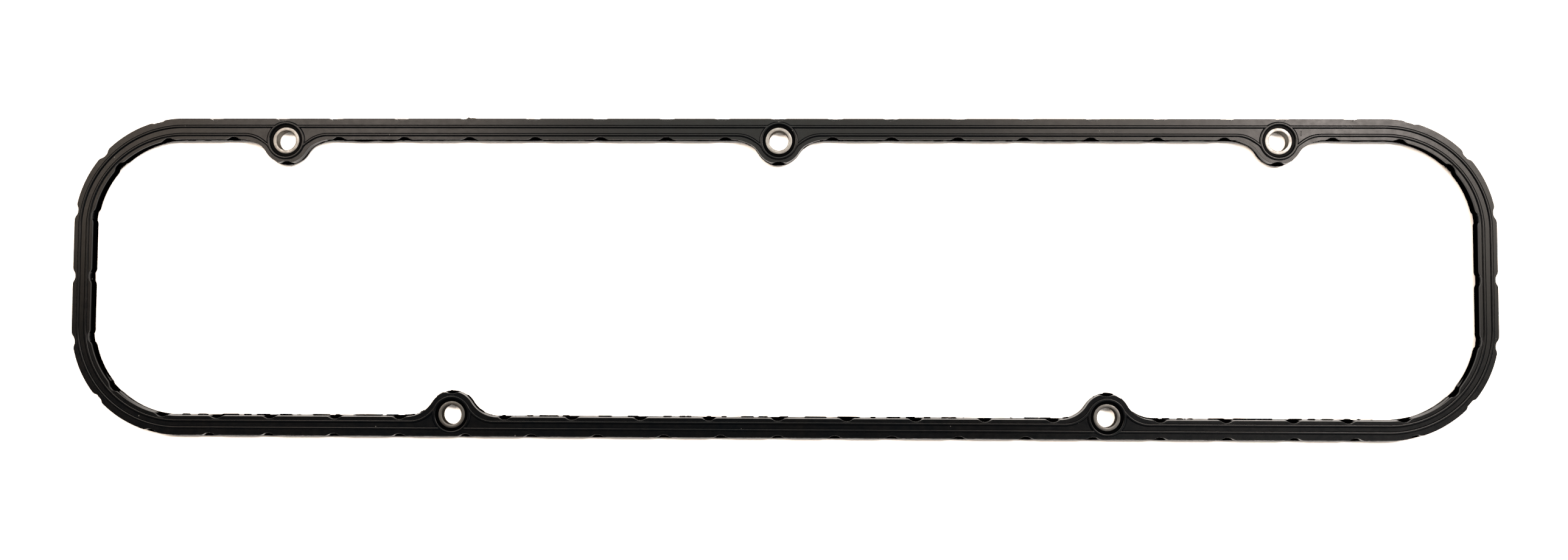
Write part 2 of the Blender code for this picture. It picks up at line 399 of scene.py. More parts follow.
@dataclass(frozen=True)
class Band:
    """The right half of the gasket's band, from which the left half is mirrored."""

    half_length: float = 254.45 * MM
    half_width: float = 57.25 * MM
    corner_radius: float = 39.2 * MM
    side_width: float = 6.70 * MM
    rail_extra: float = 0.50 * MM
    upper_bolt_x: float = 178.0 * MM
    lower_bolt_x: float = 116.5 * MM
    bolt_y: float = 49.2 * MM
    boss_radius: float = 8.35 * MM
    boss_fillet: float = 11.0 * MM
    upper_inner: tuple[float, ...] = (0.01925, 0.0404, 0.0641, 0.0877, 0.1115, 0.1351, 0.1589, 0.1972)
    upper_outer: tuple[float, ...] = (
        0.0, 0.0203, 0.0401, 0.0643, 0.0884, 0.1121, 0.1361, 0.1598, 0.1793, 0.2034
    )
    lower_inner: tuple[float, ...] = (0.0, 0.0245, 0.0490, 0.0735, 0.0976, 0.1353, 0.1586, 0.1821, 0.2013)
    lower_outer: tuple[float, ...] = (
        0.0, 0.0203, 0.0405, 0.0642, 0.0879, 0.1115, 0.1352, 0.1588, 0.1824, 0.2037
    )
    inner_angles: tuple[float, ...] = (10.5, 46.5, 82.0)
    outer_angles: tuple[float, ...] = (14.0, 48.0, 82.0)

    @property
    def half_rail(self) -> float:
        """How far a rail's straight reaches from the middle."""
        return self.half_length - self.corner_radius

    @property
    def half_side(self) -> float:
        """How far an end bar's straight reaches from the middle."""
        return self.half_width - self.corner_radius

    @property
    def right_bolts(self) -> tuple[tuple[float, float], ...]:
        """The places of the bolts in the middle and on the right."""
        return (
            (0.0, self.bolt_y),
            (self.upper_bolt_x, self.bolt_y),
            (self.lower_bolt_x, -self.bolt_y),
        )

    @staticmethod
    def _corner_marks(radius: float, angles: Sequence[float], towards_rail: bool) -> list[float]:
        """Notch distances round a corner, whose angles count from its rail."""
        turned = sorted(90 - angle if towards_rail else angle for angle in angles)
        return [radius * math.radians(angle) for angle in turned]

    def walk_outer(self, pen: Pen, inset: float, extra: float, marks: dict[str, Sequence[float]]) -> None:
        """Walks east along the lower rail, up the end bar and back along the upper rail.

        Args:
            pen: The pen, already at the middle of the lower rail.
            inset: The distance from the outer wall at the end bar.
            extra: The further distance on both rails.
            marks: Marks on the lower rail, the upper rail and the corners.
        """
        radius = self.corner_radius - inset
        quarter, angles = radius * math.pi / 2, marks.get("corner", ())
        side = self.half_side - extra
        pen.stretch(self.half_rail, 0, between(marks.get("lower", ()), 0, self.half_rail))
        pen.stretch(quarter, 1 / radius, self._corner_marks(radius, angles, False))
        pen.stretch(2 * side, 0, [side] if angles else ())
        pen.stretch(quarter, 1 / radius, self._corner_marks(radius, angles, True))
        pen.stretch(self.half_rail, 0, between(marks.get("upper", ()), self.half_rail, 0))

    def walk_inner(
        self, pen: Pen, inset: float, radius: float, fillet: float, marks: dict[str, Sequence[float]]
    ) -> None:
        """Walks east from the middle boss, down the end bar and back along the lower rail.

        Args:
            pen: The pen, already at the tip of the middle boss.
            inset: The distance from the outer wall at the end bar.
            radius: The radius at which the path rounds a bolt.
            fillet: The radius at which it leaves the rail for the bolt.
            marks: Marks on the upper rail, the lower rail and the corners, and at the bosses' tips.
        """
        level = inset + self.rail_extra - (self.half_width - self.bolt_y)
        angle = math.acos((level + fillet) / (radius + fillet))
        reach = (radius + fillet) * math.sin(angle)
        tips = bool(marks.get("tips"))
        upper, lower = marks.get("upper", ()), marks.get("lower", ())
        corner = self.corner_radius - inset
        quarter, angles = corner * math.pi / 2, marks.get("corner", ())
        side = self.half_side - self.rail_extra

        def boss() -> None:
            """Rounds one whole boss."""
            pen.stretch(fillet * angle, -1 / fillet)
            pen.stretch(2 * radius * angle, 1 / radius, [radius * angle] if tips else ())
            pen.stretch(fillet * angle, -1 / fillet)

        def rail(places: Sequence[float], start: float, end: float) -> None:
            """Walks one straight of a rail."""
            pen.stretch(abs(end - start), 0, between(places, start, end))

        pen.stretch(radius * angle, 1 / radius, [0.0] if tips else ())
        pen.stretch(fillet * angle, -1 / fillet)
        rail(upper, reach, self.upper_bolt_x - reach)
        boss()
        rail(upper, self.upper_bolt_x + reach, self.half_rail)
        pen.stretch(quarter, -1 / corner, self._corner_marks(corner, angles, False))
        pen.stretch(2 * side, 0, [side] if angles else ())
        pen.stretch(quarter, -1 / corner, self._corner_marks(corner, angles, True))
        rail(lower, self.half_rail, self.lower_bolt_x + reach)
        boss()
        rail(lower, self.lower_bolt_x - reach, 0)


def mirror_half(bm: bmesh.types.BMesh) -> None:
    """Mirrors the right half to the left and merges the two."""
    geom = bm.verts[:] + bm.edges[:] + bm.faces[:]
    bmesh.ops.mirror(bm, geom=geom, matrix=Matrix(), merge_dist=MIRROR_MERGE, axis="X")


def flip_level(bm: bmesh.types.BMesh, height: float) -> None:
    """Turns a mesh upside down about a level plane.

    Args:
        bm: The mesh.
        height: The height of the plane.
    """
    bmesh.ops.translate(bm, verts=bm.verts, vec=(0, 0, -height))
    bmesh.ops.scale(bm, verts=bm.verts, vec=(1, 1, -1))
    bmesh.ops.translate(bm, verts=bm.verts, vec=(0, 0, height))


def add_object(name: str, bm: bmesh.types.BMesh) -> bpy.types.Object:
    """Makes a mesh into an object whose faces point outwards.

    Args:
        name: The object's name.
        bm: The mesh, which is freed.

    Returns:
        The object, linked to the scene.
    """
    bmesh.ops.recalc_face_normals(bm, faces=bm.faces)
    mesh = bpy.data.meshes.new(name)
    bm.to_mesh(mesh)
    bm.free()
    made = bpy.data.objects.new(name, mesh)
    bpy.context.scene.collection.objects.link(made)
    return made


def unite(body: bpy.types.Object, operation: str, others: Sequence[bpy.types.Object]) -> None:
    """Joins shapes to a body or cuts them from it, and removes them.

    Args:
        body: The object whose mesh is replaced by the result.
        operation: UNION or DIFFERENCE.
        others: The shapes.
    """
    group = bpy.data.collections.new(operation)
    bpy.context.scene.collection.children.link(group)
    for other in others:
        bpy.context.scene.collection.objects.unlink(other)
        group.objects.link(other)
    modifier = body.modifiers.new(operation, "BOOLEAN")
    modifier.operation = operation
    modifier.solver = "MANIFOLD"
    modifier.operand_type = "COLLECTION"
    modifier.collection = group
    bake(body)
    for other in others:
        bpy.data.objects.remove(other)
    bpy.data.collections.remove(group)


def bake(body: bpy.types.Object) -> None:
    """Replaces an object's mesh by what its modifiers make of it.

    Args:
        body: The object.
    """
    graph = bpy.context.evaluated_depsgraph_get()
    graph.update()
    mesh = bpy.data.meshes.new_from_object(body.evaluated_get(graph))
    old = body.data
    body.modifiers.clear()
    body.data = mesh
    bpy.data.meshes.remove(old)
    mesh.name = body.name


def smooth(body: bpy.types.Object, angle: float) -> None:
    """Shades an object smooth, with its flats kept flat.

    Args:
        body: The object.
        angle: The angle in degrees past which an edge stays sharp.
    """
    body.data.shade_smooth()
    body.data.set_sharp_from_angle(angle=math.radians(angle))
    weighted = body.modifiers.new("flat_faces_stay_flat", "WEIGHTED_NORMAL")
    weighted.mode = "FACE_AREA"
    weighted.weight = FLAT_WEIGHT
    weighted.keep_sharp = True
    bake(body)


class Wire:
    """One output of a node, on which Python's operators add Math nodes."""

    def __init__(self, bench: "Bench", socket: bpy.types.NodeSocket) -> None:
        """Wraps a socket of the bench's tree."""
        self.bench = bench
        self.socket = socket

    def _math(self, operation: str, *values: Any) -> "Wire":
        """Adds a Math node on these values."""
        return self.bench.add("ShaderNodeMath", {"operation": operation}, dict(enumerate(values)))

    def __add__(self, other: Any) -> "Wire":
        """The sum."""
        return self._math("ADD", self, other)

    def __radd__(self, other: Any) -> "Wire":
        """The sum, where the other value stands first."""
        return self._math("ADD", other, self)

    def __sub__(self, other: Any) -> "Wire":
        """The difference."""
        return self._math("SUBTRACT", self, other)

    def __rsub__(self, other: Any) -> "Wire":
        """The difference, where the other value stands first."""
        return self._math("SUBTRACT", other, self)

    def __mul__(self, other: Any) -> "Wire":
        """The product."""
        return self._math("MULTIPLY", self, other)

    def __rmul__(self, other: Any) -> "Wire":
        """The product, where the other value stands first."""
        return self._math("MULTIPLY", other, self)

    def __pow__(self, other: Any) -> "Wire":
        """The power."""
        return self._math("POWER", self, other)

    def __lt__(self, other: Any) -> "Wire":
        """1 where the value is less than the other, and 0 elsewhere."""
        return self._math("LESS_THAN", self, other)

    def __gt__(self, other: Any) -> "Wire":
        """1 where the value is greater than the other, and 0 elsewhere."""
        return self._math("GREATER_THAN", self, other)

    def size(self) -> "Wire":
        """The value without its sign."""
        return self._math("ABSOLUTE", self)

    def over(self, least: float) -> "Wire":
        """The value, or the least where it is below it."""
        return self._math("MAXIMUM", self, least)


class Bench:
    """The nodes of one material or of the world."""

    def __init__(self, tree: bpy.types.NodeTree) -> None:
        """Takes the tree that the nodes go in."""
        self.tree = tree

    def add(
        self, kind: str, settings: dict[str, Any], inputs: dict[Any, Any], output: int | str = 0
    ) -> Wire:
        """Adds a node.

        Args:
            kind: The node's type.
            settings: Its properties.
            inputs: Values or wires for its sockets, by name or number.
            output: The output that is returned, by name or number.

        Returns:
            The wire from that output.
        """
        node = self.tree.nodes.new(kind)
        for key, value in settings.items():
            setattr(node, key, value)
        for key, value in inputs.items():
            if isinstance(value, Wire):
                self.tree.links.new(value.socket, node.inputs[key])
            else:
                node.inputs[key].default_value = value
        return Wire(self, node.outputs[output])

    def noise(self, coords: Wire, scale: float, detail: float = 2.0, roughness: float = 0.5) -> Wire:
        """Adds a noise pattern with this many lumps to the metre."""
        inputs = {"Vector": coords, "Scale": scale, "Detail": detail, "Roughness": roughness}
        return self.add("ShaderNodeTexNoise", {}, inputs, "Fac")

    def mix(self, factor: Any, first: Any, second: Any) -> Wire:
        """Mixes two colours."""
        return self.add("ShaderNodeMix", {"data_type": "RGBA"}, {0: factor, 6: first, 7: second}, 2)

    def span(self, value: Wire, low: float, high: float, first: float, last: float) -> Wire:
        """Maps a range of a value to another, held at its ends."""
        inputs = {"Value": value, "From Min": low, "From Max": high, "To Min": first, "To Max": last}
        return self.add("ShaderNodeMapRange", {}, inputs)

    def surface(self, shader: Wire, output: str = "ShaderNodeOutputMaterial") -> None:
        """Ends the tree with a shader.

        Args:
            shader: The shader.
            output: The type of the tree's output node.
        """
        self.tree.links.new(shader.socket, self.tree.nodes.new(output).inputs["Surface"])


def new_material(name: str) -> tuple[bpy.types.Material, Bench]:
    """Makes an empty node material.

    Args:
        name: The material's name.

    Returns:
        The material and its bench.
    """
    made = bpy.data.materials.new(name)
    made.use_nodes = True
    made.node_tree.nodes.clear()
    return made, Bench(made.node_tree)


@dataclass(frozen=True)
class RubberFinish:
    """Black moulded rubber with a soft sheen, a fine grain and specks of dust.

    Painted shade makes it a flat near-black on the web at the parting line, in the notches of the
    inner wall, and between each sleeve and its ring bead, where shade falls. Scales are lumps to the metre.
    """

    name: str = "moulded_rubber"
    dark: Colour = (0.0022, 0.0036, 0.0052)
    bloom: Colour = (0.0040, 0.0040, 0.0044)
    dust: Colour = (0.42, 0.41, 0.38)
    # torn is the colour of the painted shade: a flat near-black laid where shade falls on the web, in the
    # notches and round the sleeves
    torn: Colour = (0.0006, 0.0006, 0.0007)
    gloss: float = 0.18
    gloss_tint: Colour = (1.0, 0.97, 0.93)
    roughness: tuple[float, float] = (0.19, 0.26)
    patch_scale: float = 38.0
    blot_scale: float = 420.0
    speck_scale: float = 620.0
    speck_lot: float = 0.955
    speck_size: float = 3.2
    speck_cover: float = 0.55
    speck_roughness: float = 0.3
    wave_scale: float = 260.0
    wave_height: float = 0.5
    grain_scale: float = 2600.0
    grain_height: float = 0.16
    streak_scale: float = 7000.0
    streak_height: float = 0.22
    relief: float = 0.008 * MM
    # Where the painted shade lies: on the web and its flash, in the notches of the inner wall, and on the
    # ring round each sleeve.
    web_shade_from: float = 2.20 * MM
    web_shade_fade: tuple[float, float] = (2.66 * MM, 2.80 * MM)
    web_shade_short_of: float = 54.0 * MM
    pocket_walls: tuple[float, float] = (32.02 * MM, 31.40 * MM)
    pocket_swing: float = 10.0 * MM
    pocket_end: float = 33.0 * MM
    pocket_shade_fade: tuple[float, float] = (4.4 * MM, 5.0 * MM)
    sleeve_ring_shade_fade: tuple[float, float] = (5.62 * MM, 5.85 * MM)
    sleeve_ring_shade_cover: float = 0.92

    def material(self, band: Band) -> bpy.types.Material:
        """Builds the material.

        Args:
            band: The gasket's band, which places the notches and the sleeves.

        Returns:
            The material.
        """
        made, bench = new_material(self.name)
        coords = bench.add("ShaderNodeTexCoord", {}, {}, "Object")
        axes = [bench.add("ShaderNodeSeparateXYZ", {}, {0: coords}, axis) for axis in range(3)]
        reach_x = (axes[0].size() - band.half_rail).over(0.0)
        reach_y = (axes[1].size() - band.half_side).over(0.0)
        across = (reach_x * reach_x + reach_y * reach_y) ** 0.5
        patches = bench.noise(coords, self.patch_scale, 3.0, 0.6)
        blots = bench.noise(coords, self.blot_scale, 4.0, 0.65)
        mottle = bench.span(patches * 0.6 + blots * 0.4, 0.35, 0.7, 0.0, 1.0)
        colour = bench.mix(mottle, (*self.dark, 1), (*self.bloom, 1))
        specks = self._specks(bench, coords)
        inputs = {
            "Base Color": bench.mix(specks * self.speck_cover, colour, (*self.dust, 1)),
            "Roughness": bench.span(blots, 0.3, 0.7, *self.roughness) + specks * self.speck_roughness,
            "Normal": self._relief(bench, coords, axes, across),
            "Specular IOR Level": self.gloss,
            "Specular Tint": (*self.gloss_tint, 1),
        }
        glossy = bench.add("ShaderNodeBsdfPrincipled", {}, inputs)
        # a flat near-black diffuse, mixed in by the painted shade's mask, paints shade on the rubber
        painted_shade_black = bench.add("ShaderNodeBsdfDiffuse", {}, {"Color": (*self.torn, 1)})
        painted_shade_share = self._painted_shade_mask(bench, band, axes, across)
        bench.surface(bench.add("ShaderNodeMixShader", {}, {0: painted_shade_share, 1: glossy, 2: painted_shade_black}))
        return made

    def _specks(self, bench: Bench, coords: Wire) -> Wire:
        """Scatters a few specks of dust.

        Args:
            bench: The material's bench.
            coords: The place on the object.

        Returns:
            1 on a speck and 0 elsewhere.
        """
        cells = {"Vector": coords, "Scale": self.speck_scale, "Randomness": 1.0}
        away = bench.add("ShaderNodeTexVoronoi", {}, cells, "Distance")
        chance = bench.add("ShaderNodeTexVoronoi", {}, cells, "Color")
        lot = bench.add("ShaderNodeSeparateColor", {}, {0: chance}, 0)
        return (away < (lot - self.speck_lot) * self.speck_size) * (lot > self.speck_lot)

    def _relief(self, bench: Bench, coords: Wire, axes: list[Wire], across: Wire) -> Wire:
        """Raises fine waves and grain, and streaks that run along the band.

        Args:
            bench: The material's bench.
            coords: The place on the object.
            axes: The place along X, Y and Z.
            across: How far out the place lies from the straight line inside the band.

        Returns:
            The bent normal.
        """
        along = [axis * self.wave_scale for axis in axes[:2]]
        flow = bench.add(
            "ShaderNodeCombineXYZ", {}, {0: across * self.streak_scale, 1: along[0], 2: along[1]}
        )
        height = (
            bench.noise(coords, self.wave_scale, 2.0, 0.5) * self.wave_height
            + bench.noise(coords, self.grain_scale, 3.0, 0.6) * self.grain_height
            + bench.noise(flow, 1.0, 2.0, 0.6) * self.streak_height
        )
        return bench.add("ShaderNodeBump", {}, {"Strength": 1.0, "Distance": self.relief, "Height": height})

    def _painted_shade_mask(self, bench: Bench, band: Band, axes: list[Wire], across: Wire) -> Wire:
        """Where painted shade darkens the rubber to a flat near-black.

        Args:
            bench: The material's bench.
            band: The gasket's band.
            axes: The place along X, Y and Z.
            across: How far out the place lies from the straight line inside the band.

        Returns:
            The share of painted shade.
        """
        _, y, z = axes
        # painted shade on the web and its flash along the parting line, fading out just above it
        web = (z > self.web_shade_from) * bench.span(z, *self.web_shade_fade, 1.0, 0.0) * (y < self.web_shade_short_of)
        # painted shade in the notches of the inner wall, fading out towards the upper face
        wall = bench.span(y, -self.pocket_swing, self.pocket_swing, *self.pocket_walls)
        pocket_shade = (across > wall) * (across < self.pocket_end) * bench.span(z, *self.pocket_shade_fade, 1.0, 0.0)
        painted_shade_share = 1.0 - (1.0 - web) * (1.0 - pocket_shade)
        # painted shade on the rubber between each sleeve and its ring bead
        for bolt_x, bolt_y in band.right_bolts:
            along, side = axes[0].size() - bolt_x, y - bolt_y
            away = (along * along + side * side) ** 0.5
            painted_shade_share = 1.0 - (1.0 - painted_shade_share) * (1.0 - bench.span(away, *self.sleeve_ring_shade_fade, self.sleeve_ring_shade_cover, 0.0))
        return painted_shade_share


@dataclass(frozen=True)
class SteelFinish:
    """Turned steel with fine rings round the bore; the sleeves on the rail with two bolts are darkened as
    painted shade.
    """

    name: str = "turned_steel"
    bright: Colour = (0.290, 0.278, 0.260)
    dull: Colour = (0.205, 0.193, 0.175)
    # scale that darkens the sleeves on the rail with two bolts, as painted shade
    lower_row_shade: float = 0.50
    # a dark tint on grazing reflections that darkens the bore's wall: painted shade
    grazing_shade_tint: Colour = (0.12, 0.11, 0.10)
    roughness: tuple[float, float] = (0.45, 0.32)
    ring_scale: float = 9000.0
    stain_scale: float = 520.0
    relief: float = 0.004 * MM

    def material(self, name: str, centre: tuple[float, float]) -> bpy.types.Material:
        """Builds the material of one sleeve.

        Args:
            name: The sleeve's name.
            centre: The place of its bore, about which the turning marks run.

        Returns:
            The material.
        """
        made, bench = new_material(f"{self.name}_{name}")
        coords = bench.add("ShaderNodeTexCoord", {}, {}, "Object")
        local = bench.add(
            "ShaderNodeMapping", {}, {"Vector": coords, "Location": (-centre[0], -centre[1], 0)}
        )
        level = bench.add("ShaderNodeVectorMath", {"operation": "MULTIPLY"}, {0: local, 1: (1, 1, 0)})
        radius = bench.add("ShaderNodeVectorMath", {"operation": "LENGTH"}, {0: level}, "Value")
        turning = {"W": radius, "Scale": self.ring_scale}
        rings = bench.add("ShaderNodeTexNoise", {"noise_dimensions": "1D"}, turning, "Fac")
        stains = bench.noise(coords, self.stain_scale, 3.0, 0.6)
        tint = bench.span(stains * 0.7 + rings * 0.3, 0.35, 0.65, 0.0, 1.0)
        # painted shade: the sleeves on the rail with two bolts are darkened
        shade = self.lower_row_shade if centre[1] < 0 else 1.0
        dull, bright = ([shade * part for part in tone] for tone in (self.dull, self.bright))
        bump = {"Strength": 1.0, "Distance": self.relief, "Height": rings}
        inputs = {
            "Base Color": bench.mix(tint, (*dull, 1), (*bright, 1)),
            "Roughness": bench.span(stains, 0.3, 0.7, *self.roughness),
            "Metallic": 1.0,
            "Normal": bench.add("ShaderNodeBump", {}, bump),
            # painted shade: the dark grazing tint darkens the reflections in the bore
            "Specular Tint": (*self.grazing_shade_tint, 1),
        }
        bench.surface(bench.add("ShaderNodeBsdfPrincipled", {}, inputs))
        return made


@dataclass(frozen=True)
class RailFit:
    """How the photo's rails differ from the band's even width.

    The rail with three bolts reaches further into the opening, most of all at its upper face. The
    other rail's inner wall leans, and its outer edge lies further in.
    """

    filled: float = 0.50 * MM
    filled_at_web: float = 0.55
    filled_above: float = 0.45
    leaned: float = 0.26 * MM
    trimmed: float = 0.26 * MM
    starts: float = 47.2 * MM
    full: float = 49.2 * MM
    corner_slope: float = 1.2
    within: float = 35.0 * MM

    def apply(self, bm: bmesh.types.BMesh, band: Band, heights: Heights) -> None:
        """Moves a mesh's rails to where the photo shows them.

        Args:
            bm: The mesh.
            band: The band that it follows.
            heights: The heights of its layers.
        """
        for vert in bm.verts:
            beyond = max(abs(vert.co.x) - band.half_rail, 0.0)
            inside = math.hypot(beyond, abs(vert.co.y) - band.half_side) < self.within
            start = self.starts - self.corner_slope * beyond
            share = min(1.0, max(0.0, (abs(vert.co.y) - start) / (self.full - start)))
            rise = (vert.co.z - heights.web_top) / (heights.upper_face - heights.web_top)
            rise = min(1.0, max(0.0, rise))
            if vert.co.y > 0 and inside:
                vert.co.y -= self.filled * share * (self.filled_at_web + self.filled_above * rise)
            elif vert.co.y < 0 and inside:
                vert.co.y += self.leaned * share * (1 - rise)
            elif vert.co.y < 0:
                vert.co.y += self.trimmed * share


@dataclass(frozen=True)
class Flash:
    """The thin torn flash on the parting line, and its few burrs.

    Scales are lumps to the metre. A burr is its x, its y, its half width and its height.
    """

    wave: float = 0.06 * MM
    wave_scale: float = 240.0
    reach: float = 0.24 * MM
    upper_rail: float = 0.45
    elsewhere: float = 0.2
    inner_within: float = 52.5 * MM
    shred_scale: float = 330.0
    shred_layer: float = 7.0
    fray: float = 0.16
    fray_scale: float = 1900.0
    torn_over: float = -0.02
    sharpness: float = 14.0
    burrs: tuple[tuple[float, float, float, float], ...] = (
        (-0.1124, 0.0574, 0.0008, 0.00065),
        (-0.1108, 0.0574, 0.0022, 0.00040),
        (-0.1502, 0.0499, 0.0050, 0.00040),
        (-0.1415, 0.0499, 0.0040, 0.00034),
    )

    def _out(self, place: Vector, half_rail: float) -> float:
        """How far the flash stands out of the rubber at a place.

        Args:
            place: The place on the web's wall.
            half_rail: How far a rail's straight reaches from the middle.

        Returns:
            The distance, below 0 where the wall lies further in.
        """
        lump = Vector((place.x * self.shred_scale, place.y * self.shred_scale, self.shred_layer))
        shred = noise.noise(lump) + self.fray * noise.noise(place * self.fray_scale)
        reach = self.reach
        if abs(place.y) >= self.inner_within or abs(place.x) >= half_rail:
            reach *= self.elsewhere
        elif place.y >= 0:
            reach *= self.upper_rail
        torn = reach * min(1.0, max(0.0, (shred - self.torn_over) * self.sharpness))
        for x, y, width, height in self.burrs:
            away = (Vector((x, y, 0)) - Vector((place.x, place.y, 0))).length / width
            torn = max(torn, height * max(0.0, 1 - away * away))
        return self.wave * noise.noise(place * self.wave_scale) + torn

    def tear(self, bm: bmesh.types.BMesh, half_rail: float) -> None:
        """Moves a plate's upright walls outwards by the flash that hangs on them.

        Args:
            bm: The plate's mesh.
            half_rail: How far a rail's straight reaches from the middle.
        """
        bmesh.ops.recalc_face_normals(bm, faces=bm.faces)
        moves = []
        for vert in bm.verts:
            out = sum((face.normal for face in vert.link_faces if abs(face.normal.z) < 0.5), Vector())
            out.z = 0
            if out.length > 0.5:
                moves.append((vert, out.normalized() * self._out(vert.co, half_rail)))
        for vert, move in moves:
            vert.co += move


@dataclass(frozen=True)
class RubberMoulding:
    """The one rubber moulding: notched lobes on a web, line beads, ring beads and flash.

    What stands proud does so by one distance outside the band and another inside it.
    """

    band: Band = Band()
    heights: Heights = Heights()
    notch: NotchSizes = NotchSizes()
    rail_fit: RailFit = RailFit()
    flash: Flash = Flash()
    line_bead: BeadSizes = BeadSizes(width=1.24 * MM, height=0.43 * MM)
    ring_bead: BeadSizes = BeadSizes(width=1.36 * MM, height=0.45 * MM)
    outer_bead_inset: float = 2.20 * MM
    outer_bead_extra: float = 0.84 * MM
    inner_bead_from_wall: float = 1.70 * MM
    ring_radius: float = 6.30 * MM
    weld: float = 0.001 * MM
    lobe_sink: float = 0.10 * MM
    lobe_grain: float = 60.0 * MM
    foot_proud: tuple[float, float] = (0.10 * MM, 0.16 * MM)
    draft: float = 0.20 * MM
    corner_segments: int = 3
    edge_round: float = 0.08 * MM
    edge_segments: int = 2
    web_proud: tuple[float, float] = (0.16 * MM, 0.24 * MM)
    web_grain: float = 0.35 * MM
    web_draft: float = 0.03 * MM
    web_weld: float = 0.004 * MM
    mirror_snap: float = 0.02 * MM
    hole_radius: float = 4.87 * MM
    hole_depth: float = 12.0 * MM
    hole_segments: int = 72
    mark_place: tuple[float, float] = (0.18583, 0.05194)
    mark_bead: BeadSizes = BeadSizes(width=0.17 * MM, height=0.09 * MM, sink=0.02 * MM, sides=12)
    mark_length: float = 1.30 * MM
    mark_radius: float = 0.24 * MM
    sharp_angle: float = 34.0

    def _half_outline(
        self, bm: bmesh.types.BMesh, level: float, proud: tuple[float, float], notched: bool, grain: float
    ) -> Scribe:
        """Draws the right half's closed outline and fills it.

        Args:
            bm: The mesh that is drawn in.
            level: The outline's height.
            proud: How far it stands out of the band, outside and inside.
            notched: Whether it has the notches.
            grain: The longest edge that it may have.

        Returns:
            The pen, which knows the notches' corners.
        """
        band, (rim, bore) = self.band, proud
        start = Vector((0, -band.half_width - rim, level))
        pen = Scribe(bm, start, 0.0, self.notch if notched else None, grain)
        outer, inner = {}, {}
        if notched:
            outer = {"lower": band.lower_outer, "upper": band.upper_outer, "corner": band.outer_angles}
            inner = {"lower": band.lower_inner, "upper": band.upper_inner, "corner": band.inner_angles}
            inner["tips"] = (0,)
        band.walk_outer(pen, -rim, 0.0, outer)
        radius = band.boss_radius + bore
        pen.jump(Vector((0, band.bolt_y - radius, level)), 0.0)
        band.walk_inner(pen, band.side_width + bore, radius, band.boss_fillet - bore, inner)
        pen.close()
        for vert in bm.verts:
            if abs(vert.co.x) < self.mirror_snap:
                vert.co.x = 0.0
        bmesh.ops.contextual_create(bm, geom=bm.edges[:])
        return pen

    @staticmethod
    def _raise_plate(bm: bmesh.types.BMesh, thickness: float, draft: float) -> None:
        """Raises a flat face into a closed plate.

        Args:
            bm: The mesh, which holds only that face.
            thickness: The plate's thickness.
            draft: How far its walls lean in over that height.
        """
        face = bm.faces[0]
        face.normal_update()
        if face.normal.z < 0:
            bmesh.ops.reverse_faces(bm, faces=[face])
        bmesh.ops.inset_region(
            bm, faces=[face], thickness=draft, depth=thickness, use_even_offset=True, use_boundary=True
        )
        for vert in face.verts:
            if abs(vert.co.x - draft) < SAME_PLACE:
                vert.co.x = 0.0
        bmesh.ops.contextual_create(bm, geom=[edge for edge in bm.edges if len(edge.link_faces) == 1])

    @staticmethod
    def _open_at_mirror(bm: bmesh.types.BMesh) -> None:
        """Deletes the end faces on the mirror plane."""
        ends = [face for face in bm.faces if all(abs(vert.co.x) < SAME_PLACE for vert in face.verts)]
        bmesh.ops.delete(bm, geom=ends, context="FACES_ONLY")

    @staticmethod
    def _round_edges(
        bm: bmesh.types.BMesh, edges: list[bmesh.types.BMEdge], size: float, segments: int
    ) -> None:
        """Rounds edges.

        Args:
            bm: The mesh.
            edges: The edges.
            size: How far from the edge the rounding starts.
            segments: The number of its facets.
        """
        bmesh.ops.bevel(
            bm,
            geom=edges,
            offset=size,
            offset_type="OFFSET",
            segments=segments,
            profile=0.5,
            affect="EDGES",
            clamp_overlap=False,
            material=-1,
        )

    def lobe(self, name: str, upper: bool) -> bpy.types.Object:
        """Builds one notched lobe with its corners and its rim rounded.

        Args:
            name: The object's name.
            upper: Whether it stands above the web or hangs below it.

        Returns:
            The lobe.
        """
        heights, bm = self.heights, bmesh.new()
        if upper:
            height = heights.upper_face - heights.web_top
        else:
            height = heights.web_bottom - heights.lower_face
        bottom = heights.upper_face - height - self.lobe_sink
        pen = self._half_outline(bm, bottom, self.foot_proud, True, self.lobe_grain)
        mouths, floors = set(pen.mouth_corners), set(pen.floor_corners)
        self._raise_plate(bm, heights.upper_face - bottom, self.draft)
        for corners, size in ((floors, self.notch.floor_round), (mouths, self.notch.mouth_round)):
            upright = [
                edge
                for corner in corners
                if corner.is_valid
                for edge in corner.link_edges
                if abs(edge.verts[0].co.z - edge.verts[1].co.z) > self.lobe_sink
            ]
            self._round_edges(bm, upright, size, self.corner_segments)
        self._open_at_mirror(bm)
        rim = [
            edge
            for edge in bm.edges
            if len(edge.link_faces) == 2
            and all(abs(vert.co.z - heights.upper_face) < SAME_PLACE for vert in edge.verts)
        ]
        self._round_edges(bm, rim, self.edge_round, self.edge_segments)
        if not upper:
            flip_level(bm, heights.middle)
        self.rail_fit.apply(bm, self.band, heights)
        mirror_half(bm)
        return add_object(name, bm)

    def web(self) -> bpy.types.Object:
        """Builds the plain web between the lobes, with the torn flash on its edges.

        Returns:
            The web, which the rest of the moulding is joined to.
        """
        bm = bmesh.new()
        self._half_outline(bm, self.heights.web_bottom, self.web_proud, False, self.web_grain)
        self._raise_plate(bm, self.heights.web_top - self.heights.web_bottom, self.web_draft)
        self._open_at_mirror(bm)
        mirror_half(bm)
        bmesh.ops.remove_doubles(bm, verts=bm.verts, dist=self.web_weld)
        self.rail_fit.apply(bm, self.band, self.heights)
        self.flash.tear(bm, self.band.half_rail)
        return add_object("rubber_moulding", bm)

